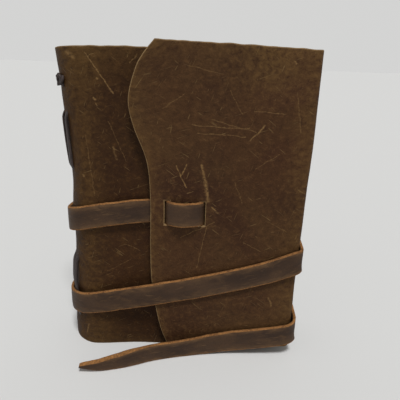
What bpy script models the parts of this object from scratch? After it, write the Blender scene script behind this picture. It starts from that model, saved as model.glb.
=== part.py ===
"""Leather wrap journal: a sewn book in one soft hide that folds round the fore-edge
and is tied shut with a long flat strap. Metres, +Z up.

The journal stands on its lower edge. +X points to the fore-edge and -Y to the front.
The origin is on the surface that the journal stands on, under the middle of its box.
"""

import math

import bmesh
import bpy
from mathutils import Matrix, Vector

# Driving dimensions
GAP = 0.0003                  # between pieces that touch
BOOK_WIDTH = 0.136            # spine to fore-edge, outside the leather
BOOK_HEIGHT = 0.180
LEATHER = 0.0022
PANEL_LIFT = 0.0002           # moving panels clear the surface by this much

SIGNATURES = 5
TURNING_SIGNATURES = 2        # the front ones, whose leaves turn on their gutters
SIGNATURE_THICKNESS = 0.0048
PAGE_WIDTH = BOOK_WIDTH - 0.019      # the fore-edge panel stands clear of the pages
PAGE_HEIGHT = BOOK_HEIGHT - 0.004
PAGE_LIFT = 0.0015
LEAF_HINGE_INSET = 0.0020     # front cover's fold to the line where the leaves turn

COVER_SETBACK = 0.010         # front cover's free edge to the fore-edge panel
FLAP_SPACE = 0.0040           # front cover to flap, room for the strap
FLAP_REACH = 0.0866           # fore-edge to the flap's free edge
FLAP_RISE_FREE = 0.0035       # the flap's upper edge over the book's, at its free end
FLAP_RISE_FOLD = 0.0010       # and at its fold
FLAP_CLEAR_FOLD = 0.0055      # the flap's lower edge over the surface, at its fold
FLAP_LEVEL = 0.026            # its lower edge is level this far from the free edge
# The free edge as cut: share of the flap's height, and how far it strays past FLAP_REACH
FLAP_EDGE = [(0.0, -0.0124), (0.10, -0.0056), (0.255, -0.0008), (0.39, 0.0), (0.535, -0.0002),
             (0.66, 0.0016), (0.765, 0.0086), (0.84, 0.0110), (0.92, 0.0072), (0.96, 0.0032),
             (1.0, -0.0028)]

SLOT_INSET = 0.0093           # flap's free edge to the first slot's middle
SLOT_SPACING = 0.0212
SLOT_WIDTH = 0.0056
SLOT_CLEARANCE = 0.0004       # above and below the strap
SLOT_Z = 0.0929

LACE_WIDTH = 0.0032
LACE_THICKNESS = 0.0012
# Lower and upper end of each outside stitch, and the knot's middle
STITCHES = {"upper": (BOOK_HEIGHT - 0.070, BOOK_HEIGHT - 0.032), "lower": (0.014, 0.062)}
KNOT_Z = BOOK_HEIGHT - 0.0185
KNOT_HEIGHT = 0.0080
KNOT_WIDTH = 0.0044
KNOT_THICKNESS = 0.0024

STRAP_WIDTH = 0.0140
STRAP_THICKNESS = 0.0020
TAPER_LENGTH = 0.024
TIP_WIDTH = 0.0024

# The strap's route along its middle, in millimetres: hand-chosen points on a smooth curve.
# From inside the flap, out through one slot, in through the other and on to the spine:
START_ROUTE = [(44.0, -14.0, 93.2), (32.0, -14.0, 93.2), (22.0, -14.0, 93.1), (17.6, -14.1, 93.0),
               (14.9, -15.2, 93.0), (13.3, -17.1, 93.0), (11.9, -19.3, 93.0), (8.4, -21.2, 92.9),
               (2.6, -22.0, 92.8), (-3.0, -21.2, 92.8), (-6.4, -19.4, 92.8), (-7.9, -17.1, 92.8),
               (-9.5, -15.1, 92.8), (-12.6, -14.2, 92.6), (-18.0, -14.1, 92.2), (-29.0, -14.7, 91.2),
               (-41.0, -15.6, 89.6)]
# Round the spine, across the back and round the fore-edge, close to the leather:
UPPER_TURN = [(-51.5, -16.0, 87.8), (-59.8, -14.2, 85.7), (-65.9, -9.0, 83.8), (-68.4, -1.8, 82.4),
              (-68.3, 6.0, 82.0), (-65.4, 12.8, 81.8), (-59.8, 17.7, 81.5), (-53.0, 19.6, 81.0),
              (-40.0, 19.8, 80.0), (-20.0, 19.7, 78.2), (0.0, 19.7, 76.2), (25.0, 19.7, 73.8),
              (48.0, 19.7, 71.6), (62.0, 19.8, 70.2), (67.5, 19.9, 69.7), (70.5, 18.8, 69.4),
              (71.2, 15.0, 69.1), (71.0, 5.0, 68.3), (70.9, -5.0, 67.2)]
# From the fore-edge over the flap and down to the spine:
FRONT_RUN = [(70.9, -14.2, 65.9), (70.5, -18.9, 64.9), (67.6, -20.4, 63.6), (62.0, -20.2, 61.2),
             (48.0, -19.9, 56.6), (28.0, -19.9, 51.3), (8.0, -19.9, 46.2), (-7.0, -19.9, 42.8),
             (-16.5, -19.8, 40.6), (-23.0, -19.5, 39.0), (-33.0, -18.7, 36.6), (-43.0, -17.9, 34.1)]
# Round again, over the stitches of the spine:
LOWER_TURN = [(-51.5, -17.0, 32.0), (-59.6, -14.9, 30.4), (-66.0, -9.6, 29.2), (-69.5, -1.8, 28.2),
              (-69.6, 6.2, 27.8), (-66.5, 13.5, 27.4), (-60.7, 18.8, 27.0), (-53.1, 21.0, 26.4),
              (-40.0, 20.4, 25.6), (-20.0, 19.8, 24.4), (0.0, 19.7, 23.4), (25.0, 19.7, 22.2),
              (48.0, 19.7, 21.2), (62.0, 20.0, 20.6), (68.8, 20.0, 20.3), (71.9, 18.2, 20.1),
              (72.8, 14.5, 19.9), (72.6, 5.0, 19.7), (72.6, -5.0, 19.2), (72.6, -13.2, 17.7)]
# The loose end, from the fore-edge along the flap and out over the surface:
TAIL_ROUTE = [(72.6, -14.0, 17.6), (71.5, -18.2, 16.6), (68.4, -20.2, 15.5), (63.0, -20.7, 14.3),
              (49.0, -20.5, 12.3), (34.0, -20.3, 10.2), (25.0, -20.6, 8.8), (16.5, -21.3, 7.7),
              (8.0, -22.6, 7.2), (0.0, -24.2, 7.1), (-8.0, -26.3, 7.1), (-16.0, -29.0, 7.1),
              (-25.0, -32.8, 7.1), (-35.0, -36.2, 7.1), (-45.0, -38.8, 7.5), (-54.5, -40.2, 8.6)]
MM = 0.001
STEPS_PER_POINT = 3

# Finishes: colour, roughness
HIDE = ((0.055, 0.033, 0.017), 0.62)
CREASE = ((0.090, 0.058, 0.025), 0.66)
PAPER = ((0.72, 0.66, 0.54), 0.90)
LACE = ((0.022, 0.016, 0.014), 0.60)
STRAP = ((0.062, 0.036, 0.026), 0.58)

# Front to back: flap, its space, front cover, signatures, back cover
SIGNATURE_PITCH = SIGNATURE_THICKNESS + GAP
BLOCK_THICKNESS = SIGNATURES * SIGNATURE_PITCH - GAP
THICKNESS = BLOCK_THICKNESS + 2 * GAP + 3 * LEATHER + FLAP_SPACE
BACK_Y = THICKNESS / 2
FLAP_Y = -BACK_Y
COVER_Y = FLAP_Y + LEATHER + FLAP_SPACE
PAGES_Y = COVER_Y + LEATHER + GAP

# Spine to fore-edge; the box runs from the middle knot to the fore-edge
SPINE_RADIUS = (BACK_Y - COVER_Y) / 2
SPINE_Y = (BACK_Y + COVER_Y) / 2
KNOT_PROUD = GAP + KNOT_THICKNESS
FORE_EDGE_X = (BOOK_WIDTH + KNOT_PROUD) / 2
SPINE_X = FORE_EDGE_X - BOOK_WIDTH + SPINE_RADIUS
FLAP_EDGE_X = FORE_EDGE_X - FLAP_REACH

# Fold lines stand in the middle of the leather, a crease's radius and a gap from each panel
CREASE_RADIUS = LEATHER / 2
CREASE_CLEARANCE = CREASE_RADIUS + GAP
FOLD_X = FORE_EDGE_X - CREASE_RADIUS
REAR_FOLD_Y = BACK_Y - CREASE_RADIUS
FRONT_FOLD_Y = FLAP_Y + CREASE_RADIUS
COVER_FOLD_X = SPINE_X + CREASE_CLEARANCE
COVER_FOLD_Y = COVER_Y + CREASE_RADIUS
LEAF_HINGE_X = COVER_FOLD_X + LEAF_HINGE_INSET


def clear_scene():
    """Remove whatever the scene starts with."""
    for obj in list(bpy.data.objects):
        bpy.data.objects.remove(obj)


def finished(name, finish):
    """A plain material in a piece's own colour and roughness."""
    colour, roughness = finish
    material = bpy.data.materials.new(name)
    material.use_nodes = True
    shader = material.node_tree.nodes["Principled BSDF"]
    shader.inputs["Base Color"].default_value = (*colour, 1.0)
    shader.inputs["Roughness"].default_value = roughness
    shader.inputs["Metallic"].default_value = 0.0
    return material


def add_piece(name, shape, finish, axis=None):
    """Turn a bmesh drawn in world places into an object, hung from its joint's empty."""
    bmesh.ops.recalc_face_normals(shape, faces=shape.faces)
    if shape.calc_volume(signed=True) < 0:
        bmesh.ops.reverse_faces(shape, faces=shape.faces)
    mesh = bpy.data.meshes.new(name)
    shape.to_mesh(mesh)
    shape.free()
    if finish:
        mesh.materials.append(finished(name, finish))
    piece = bpy.data.objects.new(name, mesh)
    bpy.context.collection.objects.link(piece)
    if axis:
        mesh.transform(Matrix.Translation(-axis.matrix_world.translation))
        piece.parent = axis
    return piece


def add_axis(name, place, parent=None):
    """An empty on a joint's axis, for the pieces that the joint moves."""
    axis = bpy.data.objects.new(name, None)
    bpy.context.collection.objects.link(axis)
    axis.location = Vector(place)
    if parent:
        axis.parent = parent
        axis.location -= parent.matrix_world.translation
    bpy.context.view_layer.update()
    return axis


def prism(outline, along):
    """A closed solid: a flat outline, drawn in world places, extruded along a vector."""
    shape = bmesh.new()
    face = shape.faces.new([shape.verts.new(point) for point in outline])
    far = bmesh.ops.extrude_face_region(shape, geom=[face])["geom"]
    bmesh.ops.translate(shape, vec=along, verts=[v for v in far if isinstance(v, bmesh.types.BMVert)])
    return shape


def block(low, high):
    """A box between two corners."""
    floor = [(low[0], low[1], low[2]), (high[0], low[1], low[2]),
             (high[0], high[1], low[2]), (low[0], high[1], low[2])]
    return prism(floor, (0, 0, high[2] - low[2]))


def arc(centre, radius, start, end, steps):
    """Plan points from one angle to another, in degrees from +X."""
    angles = [math.radians(start + (end - start) * i / steps) for i in range(steps + 1)]
    return [(centre[0] + radius * math.cos(a), centre[1] + radius * math.sin(a)) for a in angles]


def smooth(points, steps):
    """A Catmull-Rom curve through points, each stretch in equal steps."""
    knots = [Vector(p) for p in points]
    knots = [2 * knots[0] - knots[1]] + knots + [2 * knots[-1] - knots[-2]]
    curve = []
    for a, b, c, d in zip(knots, knots[1:], knots[2:], knots[3:]):
        for i in range(steps):
            t = i / steps
            curve.append(0.5 * (2 * b + (c - a) * t + (2 * a - 5 * b + 4 * c - d) * t * t
                                + (3 * b - a - 3 * c + d) * t ** 3))
    return curve + [knots[-2]]


def cut(piece, cutters):
    """Cut boxes out of a piece with one hidden guide that holds them all."""
    guide_shape = bmesh.new()
    for cutter in cutters:
        mesh = bpy.data.meshes.new("cutter")
        cutter.to_mesh(mesh)
        cutter.free()
        guide_shape.from_mesh(mesh)
        bpy.data.meshes.remove(mesh)
    guide = add_piece(piece.name + "_cutter", guide_shape, None)
    guide.hide_render = True
    guide.display_type = "WIRE"
    boolean = piece.modifiers.new("slots", "BOOLEAN")
    boolean.operation = "DIFFERENCE"
    boolean.use_self = True
    boolean.object = guide


def crease(name, x, y, bottom, top, axis=None):
    """The turned leather along a fold: a round rib between two panels."""
    shape = bmesh.new()
    bmesh.ops.create_cone(shape, cap_ends=True, segments=16, radius1=CREASE_RADIUS,
                          radius2=CREASE_RADIUS, depth=top - bottom)
    bmesh.ops.translate(shape, vec=(x, y, (top + bottom) / 2), verts=shape.verts)
    piece = add_piece(name, shape, CREASE, axis)
    piece.data.shade_smooth()
    piece.data.set_sharp_from_angle(angle=math.radians(40))


def outward_at(row):
    """Direction out of the spine, level with one signature's row of stitches."""
    offset = (row - (SIGNATURES - 1) / 2) * SIGNATURE_PITCH
    return Vector((-math.sqrt(SPINE_RADIUS ** 2 - offset ** 2), offset, 0)) / SPINE_RADIUS


def turned(shape, outward):
    """Turn a shape drawn with +X outward so that it faces a direction from the spine."""
    spin = Matrix.Rotation(math.atan2(outward.y, outward.x), 4, "Z")
    shape.transform(Matrix.Translation((SPINE_X, SPINE_Y, 0)) @ spin)
    return shape


def slits():
    """One slit in the spine for each end of each stitch."""
    cutters = []
    reach = LACE_WIDTH / 2 + GAP
    inner = SPINE_RADIUS - 2 * LEATHER
    for row in range(SIGNATURES):
        outward = outward_at(row)
        for low, high in STITCHES.values():
            for z in (low, high - LACE_THICKNESS):
                box = block((inner, -reach, z - GAP), (SPINE_RADIUS + LEATHER, reach, z + LACE_THICKNESS + GAP))
                cutters.append(turned(box, outward))
    return cutters


def make_hide(fore_edge_axis, flap_axis, cover_axis):
    """The panels of the hide: back cover, spine, front cover, fore-edge and flap."""
    back = block((SPINE_X, BACK_Y - LEATHER, 0), (FOLD_X - CREASE_CLEARANCE, BACK_Y, BOOK_HEIGHT))
    add_piece("back_cover", back, HIDE)

    centre = (SPINE_X - GAP, SPINE_Y)
    outer = arc(centre, SPINE_RADIUS, 90, 270, 32)
    inner = arc(centre, SPINE_RADIUS - LEATHER, 270, 90, 32)
    spine = prism([(x, y, 0) for x, y in outer + inner], (0, 0, BOOK_HEIGHT))
    cut(add_piece("spine_leather", spine, HIDE), slits())

    cover_end = FORE_EDGE_X - LEATHER - COVER_SETBACK
    cover = block((COVER_FOLD_X + CREASE_CLEARANCE, COVER_Y, PANEL_LIFT),
                  (cover_end, COVER_Y + LEATHER, BOOK_HEIGHT))
    add_piece("front_cover", cover, HIDE, cover_axis)

    fore_edge_top = BOOK_HEIGHT + FLAP_RISE_FOLD
    fore_edge = block((FORE_EDGE_X - LEATHER, FRONT_FOLD_Y + CREASE_CLEARANCE, FLAP_CLEAR_FOLD),
                      (FORE_EDGE_X, REAR_FOLD_Y - CREASE_CLEARANCE, fore_edge_top))
    add_piece("fore_edge_panel", fore_edge, HIDE, fore_edge_axis)

    crease("front_cover_fold", COVER_FOLD_X, COVER_FOLD_Y, PANEL_LIFT, BOOK_HEIGHT)
    crease("fore_edge_rear_fold", FOLD_X, REAR_FOLD_Y, PANEL_LIFT, BOOK_HEIGHT)
    crease("fore_edge_front_fold", FOLD_X, FRONT_FOLD_Y, FLAP_CLEAR_FOLD, fore_edge_top, fore_edge_axis)
    make_flap(flap_axis, fore_edge_top)


def make_flap(flap_axis, fold_top):
    """The flap over the front cover, with its wavy free edge and two strap slots."""
    free_top = BOOK_HEIGHT + FLAP_RISE_FREE
    edge = smooth([(FLAP_EDGE_X - stray, FLAP_Y, PANEL_LIFT + share * (free_top - PANEL_LIFT))
                   for share, stray in FLAP_EDGE], 4)
    fold_end = FOLD_X - CREASE_CLEARANCE
    level_end = FLAP_EDGE_X + FLAP_LEVEL
    outline = edge + [Vector((fold_end, FLAP_Y, fold_top)), Vector((fold_end, FLAP_Y, FLAP_CLEAR_FOLD)),
                      Vector((level_end, FLAP_Y, PANEL_LIFT))]
    flap = add_piece("flap", prism(outline, (0, LEATHER, 0)), HIDE, flap_axis)
    slot_half = STRAP_WIDTH / 2 + SLOT_CLEARANCE
    slots = []
    for i in range(2):
        middle = FLAP_EDGE_X + SLOT_INSET + i * SLOT_SPACING
        slots.append(block((middle - SLOT_WIDTH / 2, FLAP_Y - LEATHER, SLOT_Z - slot_half),
                           (middle + SLOT_WIDTH / 2, FLAP_Y + 2 * LEATHER, SLOT_Z + slot_half)))
    cut(flap, slots)


def leaves_outline(row, left, right):
    """Plan outline of a signature from its fold, or from a straight cut, to its far edge."""
    front = PAGES_Y + row * SIGNATURE_PITCH
    back = front + SIGNATURE_THICKNESS
    middle = (front + back) / 2
    far = [(right, front), (right, back)]
    if left is not None:
        return far + [(left, back), (left, front)]
    return far + arc((fold_x(row), middle), SIGNATURE_THICKNESS / 2, 90, 270, 10)


def fold_x(row):
    """Where the round of a signature's fold is centred, so that it follows the spine."""
    offset = (row - (SIGNATURES - 1) / 2) * SIGNATURE_PITCH
    reach = (BLOCK_THICKNESS - SIGNATURE_THICKNESS) / 2
    return SPINE_X - math.sqrt(max(reach ** 2 - offset ** 2, 0))


def make_pages(leaves_axis):
    """The signatures; the front ones are cut where their leaves turn."""
    for row in range(SIGNATURES):
        name = f"signature_{row + 1}"
        far_edge = fold_x(row) - SIGNATURE_THICKNESS / 2 + PAGE_WIDTH
        pieces = [(name, None, far_edge, None)]
        if row < TURNING_SIGNATURES:
            pieces = [(name + "_gutter", None, LEAF_HINGE_X - GAP / 2, None),
                      (name + "_leaves", LEAF_HINGE_X + GAP / 2, far_edge, leaves_axis)]
        for piece_name, left, right, axis in pieces:
            outline = [(x, y, PAGE_LIFT) for x, y in leaves_outline(row, left, right)]
            add_piece(piece_name, prism(outline, (0, 0, PAGE_HEIGHT)), PAPER, axis)


def stitch(low, high):
    """One outside stitch, drawn with +X outward: a flat lace whose ends go through the leather."""
    inside = SPINE_RADIUS - LEATHER
    under = SPINE_RADIUS + GAP
    over = under + LACE_THICKNESS
    side = -LACE_WIDTH / 2
    profile = [(inside, low), (over, low), (over, high), (inside, high),
               (inside, high - LACE_THICKNESS), (under, high - LACE_THICKNESS),
               (under, low + LACE_THICKNESS), (inside, low + LACE_THICKNESS)]
    return prism([(x, side, z) for x, z in profile], (0, LACE_WIDTH, 0))


def make_lacing():
    """For each signature, a lace that shows as two stitches, and the knot that ends it."""
    for row in range(SIGNATURES):
        outward = outward_at(row)
        for place, (low, high) in STITCHES.items():
            lace = turned(stitch(low, high), outward)
            add_piece(f"stitch_lace_{row + 1}_{place}", lace, LACE)

        knot = bmesh.new()
        bmesh.ops.create_uvsphere(knot, u_segments=14, v_segments=8, radius=0.5)
        bmesh.ops.scale(knot, vec=(KNOT_THICKNESS, KNOT_WIDTH, KNOT_HEIGHT), verts=knot.verts)
        proud = SPINE_RADIUS + GAP + KNOT_THICKNESS / 2
        bmesh.ops.translate(knot, vec=(proud, 0, KNOT_Z), verts=knot.verts)
        piece = add_piece(f"lace_knot_{row + 1}", turned(knot, outward), LACE)
        piece.data.shade_smooth()


def ribbon(route, taper=0.0):
    """A flat strap that stands on edge along a route. Over its last stretch it is cut at a slant
    towards its lower edge."""
    centre = smooth([Vector(p) * MM for p in route], STEPS_PER_POINT)
    travelled = [0.0]
    for a, b in zip(centre, centre[1:]):
        travelled.append(travelled[-1] + (b - a).length)
    shape = bmesh.new()
    rings = []
    for i, point in enumerate(centre):
        ahead = centre[min(i + 1, len(centre) - 1)] - centre[max(i - 1, 0)]
        along = ahead.normalized()
        sideways = along.cross(Vector((0, 0, 1))).normalized()
        across = sideways.cross(along)
        left = travelled[-1] - travelled[i]
        width = STRAP_WIDTH
        if left < taper:
            width = TIP_WIDTH + (STRAP_WIDTH - TIP_WIDTH) * math.sin(left / taper * math.pi / 2)
            point = point - across * (STRAP_WIDTH - width) / 2
        corners = [(-1, -1), (1, -1), (1, 1), (-1, 1)]
        rings.append([shape.verts.new(point + sideways * (s * STRAP_THICKNESS / 2) + across * (w * width / 2))
                      for s, w in corners])
    for ring, following in zip(rings, rings[1:]):
        for k in range(4):
            shape.faces.new([ring[k], ring[(k + 1) % 4], following[(k + 1) % 4], following[k]])
    shape.faces.new(rings[0])
    shape.faces.new(rings[-1])
    return shape


def make_strap(strap_axis, tail_axis):
    """The strap wound twice round the closed book, and its loose end."""
    wound = START_ROUTE + UPPER_TURN + FRONT_RUN + LOWER_TURN
    add_piece("wrap_strap", ribbon(wound), STRAP, strap_axis)
    add_piece("strap_tail", ribbon(TAIL_ROUTE, TAPER_LENGTH), STRAP, tail_axis)


def main():
    clear_scene()
    cover_axis = add_axis("front_cover_axis", (COVER_FOLD_X, COVER_FOLD_Y, 0))
    leaves_axis = add_axis("front_leaves_axis", (LEAF_HINGE_X, PAGES_Y, 0))
    fore_edge_axis = add_axis("fore_edge_axis", (FOLD_X, REAR_FOLD_Y, 0))
    flap_axis = add_axis("flap_axis", (FOLD_X, FRONT_FOLD_Y, 0), fore_edge_axis)
    strap_axis = add_axis("strap_axis", (0, 0, 0))
    tail_axis = add_axis("strap_tail_axis", Vector(TAIL_ROUTE[0]) * MM, strap_axis)
    make_hide(fore_edge_axis, flap_axis, cover_axis)
    make_pages(leaves_axis)
    make_lacing()
    make_strap(strap_axis, tail_axis)


main()
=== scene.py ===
"""The looks of the leather wrap journal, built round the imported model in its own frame.

One waxed hide makes the covers, the spine and the flap. Places are in metres and come from
the frame's boxes. The strap has a route of its own; its surface is within 2.1 mm of the CAD strap's.
"""

import math
import random

import bmesh
import bpy
import numpy as np
from mathutils import Matrix, Vector, noise


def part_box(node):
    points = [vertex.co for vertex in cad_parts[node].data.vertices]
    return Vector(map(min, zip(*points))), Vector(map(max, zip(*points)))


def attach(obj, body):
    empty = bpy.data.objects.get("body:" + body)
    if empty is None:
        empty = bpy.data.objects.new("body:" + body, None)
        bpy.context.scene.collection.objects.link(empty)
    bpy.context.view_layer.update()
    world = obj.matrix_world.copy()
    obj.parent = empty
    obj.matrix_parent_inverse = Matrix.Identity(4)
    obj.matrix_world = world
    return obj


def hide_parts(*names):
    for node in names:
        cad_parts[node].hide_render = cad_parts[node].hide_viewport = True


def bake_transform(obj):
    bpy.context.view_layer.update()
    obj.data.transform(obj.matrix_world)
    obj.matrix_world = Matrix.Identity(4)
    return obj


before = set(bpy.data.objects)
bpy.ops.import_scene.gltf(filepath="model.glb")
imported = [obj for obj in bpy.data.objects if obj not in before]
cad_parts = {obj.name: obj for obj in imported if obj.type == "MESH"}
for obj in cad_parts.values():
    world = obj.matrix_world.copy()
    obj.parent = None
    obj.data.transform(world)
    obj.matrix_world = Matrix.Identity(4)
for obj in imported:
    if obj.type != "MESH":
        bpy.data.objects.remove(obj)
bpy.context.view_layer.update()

MM = 0.001

# Places read from the frame
BACK_LOW, BACK_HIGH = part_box("back_cover")
COVER_LOW, COVER_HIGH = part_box("front_cover")
PANEL_LOW, PANEL_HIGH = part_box("fore_edge_panel")
FLAP_LOW, FLAP_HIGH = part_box("flap")
SPINE_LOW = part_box("spine_leather")[0]
LEATHER = BACK_HIGH.y - BACK_LOW.y
BOOK_TOP = BACK_HIGH.z
LIFT = FLAP_LOW.z
FORE_EDGE_X = PANEL_HIGH.x
COVER_MID_Y = (COVER_LOW.y + COVER_HIGH.y) / 2
BACK_MID_Y = (BACK_LOW.y + BACK_HIGH.y) / 2
FLAP_MID_Y = (FLAP_LOW.y + FLAP_HIGH.y) / 2
SPINE_RADIUS = (BACK_HIGH.y - COVER_LOW.y) / 2
SPINE_X = SPINE_LOW.x + SPINE_RADIUS
SPINE_Y = (BACK_HIGH.y + COVER_LOW.y) / 2
SIGNATURES = 5
SIGNATURE_PITCH = 5.1 * MM

# The hide
GRID = 1.25 * MM
FOLD_RADIUS = 2.0 * MM           # middle of the leather, where it turns round the fore-edge
SLOT_X = (-7.7 * MM, 12.1 * MM)
SLOT_WIDTH = 3.0 * MM
SLOT_Z = 92.9 * MM
SLOT_HEIGHT = 14.3 * MM
STRAY_FROM_X = 22.0 * MM         # the flap's free edge is drawn out from here
# How the spine swells and is drawn in by the strap: height, outward (mm)
SPINE_SWELL = [(0, 2.3), (12, 2.4), (17, 1.5), (21, 0.4), (28, 0.0), (35, 0.1), (41, 0.7), (50, 0.3),
               (61, -0.6), (73, -0.9), (82, -0.7), (91, -0.9), (99, -1.4), (109, -1.9), (128, -0.9),
               (148, 0.9), (161, 1.7), (180, 3.6)]
# How the fore-edge swells: height, outward (mm)
FORE_EDGE_SWELL = [(0, 0.0), (30, 0.1), (80, 0.1), (108, 0.3), (124, 0.8), (139, 0.8), (161, 0.5), (181, 0.3)]
SLACK = 0.0003                   # how far the upper edge strays beside the spine and the fore-edge
DIP = 0.0018                     # how far it dips at the spine, and rises on the flap
COVER_SWELL = 2.5 * MM           # how far the front cover stands forward beside the spine
# The flap's free edge as cut: share of its height, and how far it strays outward (mm)
FLAP_EDGE = [(0.0, -12.4), (0.10, -5.6), (0.255, -0.8), (0.39, 0.0), (0.535, -0.2), (0.66, 1.6),
             (0.765, 8.6), (0.84, 11.0), (0.92, 7.2), (0.96, 3.2), (1.0, -2.8)]
FLAP_REACH = 86.6 * MM

# The cover is a little darker and redder than the flap
COVER_TONE = (0.88, 0.80, 0.80)
FLAP_TONE = (1.10, 1.03, 1.25)
TONE_BLEND = 0.05                # length of the back over which one becomes the other

# The strap's routes along its middle (mm); many points are moved a little from the CAD's
START_ROUTE = [(44.0, -14.0, 93.2), (32.0, -14.0, 93.2), (21.0, -14.0, 93.1), (16.4, -14.1, 93.0),
               (13.6, -15.2, 93.0), (12.1, -17.1, 93.0), (10.7, -19.3, 93.0), (7.6, -21.2, 92.9),
               (2.2, -22.0, 92.8), (-3.0, -21.2, 92.8), (-6.2, -19.4, 92.8), (-7.7, -17.1, 92.8),
               (-9.5, -15.1, 92.8), (-12.6, -14.2, 92.6), (-18.0, -14.1, 92.2), (-29.0, -14.7, 91.2),
               (-41.0, -15.6, 89.6)]
UPPER_TURN = [(-51.5, -16.0, 87.8), (-59.8, -14.2, 85.7), (-65.2, -9.0, 83.8), (-67.6, -1.8, 82.4),
              (-67.6, 6.0, 82.0), (-65.4, 12.8, 81.8), (-59.8, 17.7, 81.5), (-53.0, 19.6, 81.0),
              (-40.0, 19.8, 80.0), (-20.0, 19.7, 78.2), (0.0, 19.7, 76.2), (25.0, 19.7, 73.8),
              (48.0, 19.7, 72.0), (62.0, 19.8, 70.9), (67.3, 19.9, 70.5), (70.2, 18.8, 70.2),
              (70.8, 15.0, 70.0), (70.6, 5.0, 69.4), (70.6, -5.0, 68.6)]
FRONT_RUN = [(70.6, -14.2, 67.5), (70.0, -18.8, 66.6), (67.2, -20.3, 65.3), (62.0, -20.2, 62.7),
             (48.0, -19.9, 57.2), (28.0, -19.9, 51.3), (8.0, -19.9, 46.2), (-7.0, -19.9, 42.8),
             (-16.5, -19.8, 40.6), (-23.0, -19.5, 39.0), (-33.0, -18.7, 36.6), (-43.0, -17.9, 34.1)]
LOWER_TURN = [(-51.5, -17.0, 32.0), (-59.6, -14.9, 30.4), (-66.0, -9.6, 29.2), (-69.5, -1.8, 28.2),
              (-69.6, 6.2, 27.8), (-66.5, 13.5, 27.4), (-60.7, 18.8, 27.0), (-53.1, 21.0, 26.4),
              (-40.0, 20.4, 25.6), (-20.0, 19.8, 24.4), (0.0, 19.7, 23.4), (25.0, 19.7, 22.6),
              (48.0, 19.7, 22.0), (62.0, 20.0, 21.8), (68.5, 20.0, 21.8), (71.3, 18.2, 21.8),
              (72.1, 14.5, 21.8), (71.9, 5.0, 21.6), (71.9, -5.0, 20.9), (71.8, -13.9, 19.2)]
TAIL_ROUTE = [(71.8, -14.0, 19.2), (71.6, -15.8, 18.9), (70.6, -18.5, 18.2), (67.6, -20.2, 16.6),
              (62.0, -20.7, 15.2), (49.0, -20.5, 12.7), (34.0, -20.3, 10.4), (25.0, -20.6, 9.1),
              (16.5, -21.3, 8.1), (8.0, -22.6, 7.5), (0.0, -24.2, 7.3), (-8.0, -26.3, 7.4),
              (-16.0, -29.0, 7.6), (-25.0, -32.8, 7.6), (-35.0, -36.2, 7.3), (-45.0, -38.8, 8.0),
              (-54.5, -40.2, 10.4)]
STRAP_WIDTH = 14.0 * MM
STRAP_THICKNESS = 2.0 * MM
NARROWING = 0.80                 # the loose end's width, where its point begins
NARROWED = (50.0 * MM, 95.0 * MM)  # from its end: where it is narrow, and where it is still full
POINT = 30.0 * MM
TIP = 2.4 * MM
FACET = 1.5 * MM                 # how wide the slanted cut shows
CROWN = 0.16 * MM                # how much the strap's sides fall away from its middle

# Where the strap crosses the front and presses it: two places across, and its heights there
STRAP_LINE = ([-0.043, 0.062], [0.0341, 0.0612])

# Scuffs and scratches on the front: x and z of both ends and half width (mm), strength
COVER_MARKS = [(-50, 176, -37, 156, 0.55, 0.8), (-47, 153.5, -46.4, 153, 0.9, 0.9),
               (-46, 151, -45.4, 150, 0.6, 0.7), (-45, 164, -44.6, 163.6, 0.7, 0.8),
               (-55, 112, -54.6, 111, 0.8, 0.8), (-56, 14, -57, 7, 0.6, 0.5),
               (-50, 28, -49, 28.4, 0.9, 0.8), (-58, 176, -55, 173.5, 1.6, 0.6),
               (-40, 142, -31, 120, 0.35, 0.35), (-52, 134, -49, 100, 0.4, 0.3),
               (-33, 70, -24, 66, 0.4, 0.4), (-44, 52, -30, 60, 0.35, 0.35),
               (-28, 172, -24, 176, 0.5, 0.5), (-38, 128, -36, 121, 0.8, 0.35)]
FLAP_MARKS = [(-2, 120, 0, 114, 0.5, 0.9), (3, 121, 0, 114, 0.5, 0.9), (0, 114, 3, 108, 0.6, 0.9),
              (11, 121, 15, 103, 1.1, 0.75), (13, 112, 15, 101, 1.5, 0.6), (43, 143, 36, 135, 0.6, 0.8),
              (7, 142, 35, 141, 0.45, 0.55), (9, 138, 33, 137, 0.4, 0.5), (16, 145, 40, 139, 0.35, 0.45),
              (37, 150, 53, 149.6, 0.4, 0.5), (15, 86, 10, 59, 0.4, 0.5), (19, 88, 0, 78, 0.35, 0.5),
              (17, 97, 21, 94, 0.6, 0.7), (54, 40, 56, 35, 0.9, 0.6), (-9, 41, -8, 38, 0.8, 0.6),
              (55, 175, 56, 174, 0.8, 0.7), (24, 160, 31, 148, 0.35, 0.4), (40, 120, 52, 128, 0.35, 0.4),
              (29, 112, 34, 100, 0.35, 0.4), (-4, 150, 4, 158, 0.35, 0.4), (58, 160, 62, 140, 0.5, 0.4),
              (48, 90, 60, 84, 0.35, 0.35), (36, 76, 46, 71, 0.4, 0.4), (2, 172, 20, 168, 0.4, 0.35)]


# ---------------------------------------------------------------- small helpers

def smooth_points(points, steps):
    """A Catmull-Rom curve through points, each stretch in equal steps."""
    knots = [Vector(p) for p in points]
    knots = [2 * knots[0] - knots[1]] + knots + [2 * knots[-1] - knots[-2]]
    curve = []
    for a, b, c, d in zip(knots, knots[1:], knots[2:], knots[3:]):
        for i in range(steps):
            t = i / steps
            curve.append(0.5 * (2 * b + (c - a) * t + (2 * a - 5 * b + 4 * c - d) * t * t
                                + (3 * b - a - 3 * c + d) * t ** 3))
    return curve + [knots[-2]]


def smooth_table(pairs, steps=8):
    """Two arrays to interpolate in, from a few pairs joined by a smooth curve."""
    curve = smooth_points([(a, b, 0) for a, b in pairs], steps)
    return np.array([p.x for p in curve]), np.array([p.y for p in curve])


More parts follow.
